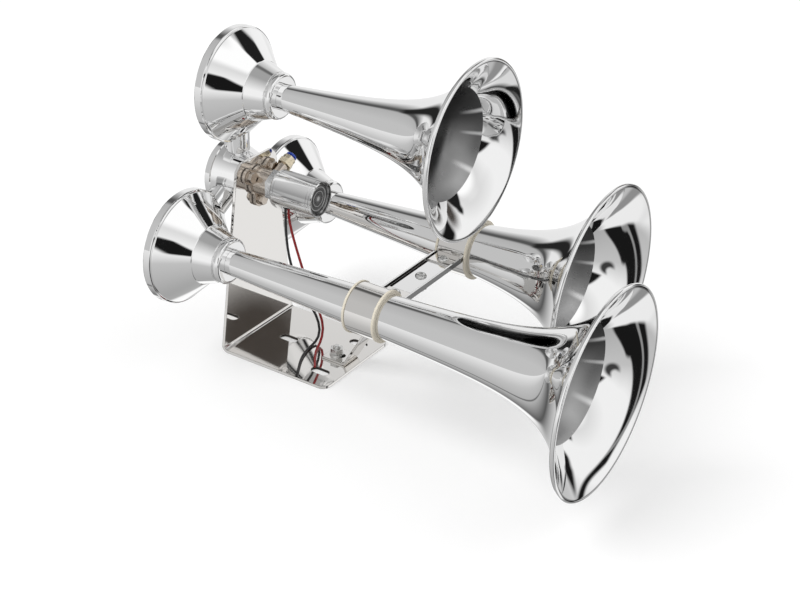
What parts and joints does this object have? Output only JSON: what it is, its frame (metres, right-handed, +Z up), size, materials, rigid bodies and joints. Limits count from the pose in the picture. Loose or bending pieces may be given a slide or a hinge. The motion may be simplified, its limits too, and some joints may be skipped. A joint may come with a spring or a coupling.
{
  "type": "car air horn",
  "caption": "Car air horn with flared chrome trumpets of different lengths, joined by a manifold and solenoid valve on a bent bracket with a braced cross bar.",
  "frame": {"origin": "middle of the underside of the bracket's base, in the plane of symmetry of the bracket", "axes": "+X forward along the trumpets, out of their mouths; +Y to the right-hand trumpet; +Z up from the base"},
  "size_m": [0.393, 0.3026, 0.2924],
  "materials": {
    "chrome_plate": "mirror polish",
    "polished_sheet": "polished sheet steel",
    "bolt_steel": "bright zinc plate",
    "valve_brass": "nickel-tinted cast brass",
    "fitting_brass": "turned brass",
    "inner_steel": "turned steel",
    "diaphragm_steel": "thin spring sheet",
    "seal_rubber": "matt black",
    "liner_rubber": "cream, matt",
    "bobbin_plastic": "matt black",
    "end_plate": "dark grey, satin",
    "winding": "copper wire",
    "collet_plastic": "blue",
    "wire_black": "soft black insulation",
    "wire_red": "soft red insulation"
  },
  "bodies": {
    "horn": {"brace": "polished_sheet", "brace_bolt": "bolt_steel", "brace_nuts": "bolt_steel", "brace_stud": "bolt_steel", "brace_washers": "bolt_steel", "bracket": "polished_sheet", "cap_screws": "bolt_steel", "clamp_band_left": "polished_sheet", "clamp_band_right": "polished_sheet", "clamp_bolts": "bolt_steel", "clamp_liner_left": "liner_rubber", "clamp_liner_right": "liner_rubber", "clamp_nuts": "bolt_steel", "coil_bobbin": "bobbin_plastic", "coil_cover": "chrome_plate", "coil_winding": "winding", "core_tube": "inner_steel", "cover_screws": "bolt_steel", "diaphragm_gasket_left": "seal_rubber", "diaphragm_gasket_right": "seal_rubber", "diaphragm_gasket_top": "seal_rubber", "diaphragm_left": "diaphragm_steel", "diaphragm_right": "diaphragm_steel", "diaphragm_top": "diaphragm_steel", "end_cap": "end_plate", "fitting_body": "fitting_brass", "fitting_seal": "seal_rubber", "fixed_core": "inner_steel", "horn_housing_left": "chrome_plate", "horn_housing_right": "chrome_plate", "horn_housing_top": "chrome_plate", "lead_grommet": "seal_rubber", "manifold": "chrome_plate", "manifold_bolts": "bolt_steel", "manifold_cover": "chrome_plate", "manifold_seal": "seal_rubber", "manifold_washers": "bolt_steel", "neck_seals": "seal_rubber", "plunger_spring": "inner_steel", "rear_cap_left": "chrome_plate", "rear_cap_right": "chrome_plate", "rear_cap_top": "chrome_plate", "support_bar": "polished_sheet", "trumpet_left": "chrome_plate", "trumpet_right": "chrome_plate", "trumpet_top": "chrome_plate", "union_nut": "bolt_steel", "valve_body": "valve_brass", "valve_gasket": "seal_rubber", "wire_black": "wire_black", "wire_red": "wire_red"},
    "plunger": {"plunger": "inner_steel", "plunger_seal": "seal_rubber"},
    "release_collet": {"release_collet": "collet_plastic"}
  },
  "joints": [
    {"name": "plunger_slide", "type": "slide", "parent": "horn", "child": "plunger", "axis": [1, 0, 0], "range_m": [0, 0.002], "stiffness_N_per_m": 250, "springref_m": -0.004, "deforming": ["plunger_spring"]},
    {"name": "collet_press", "type": "slide", "parent": "horn", "child": "release_collet", "axis": [0, -0.9135, -0.4067], "range_m": [0, 0.001], "stiffness_N_per_m": 400}
  ]
}
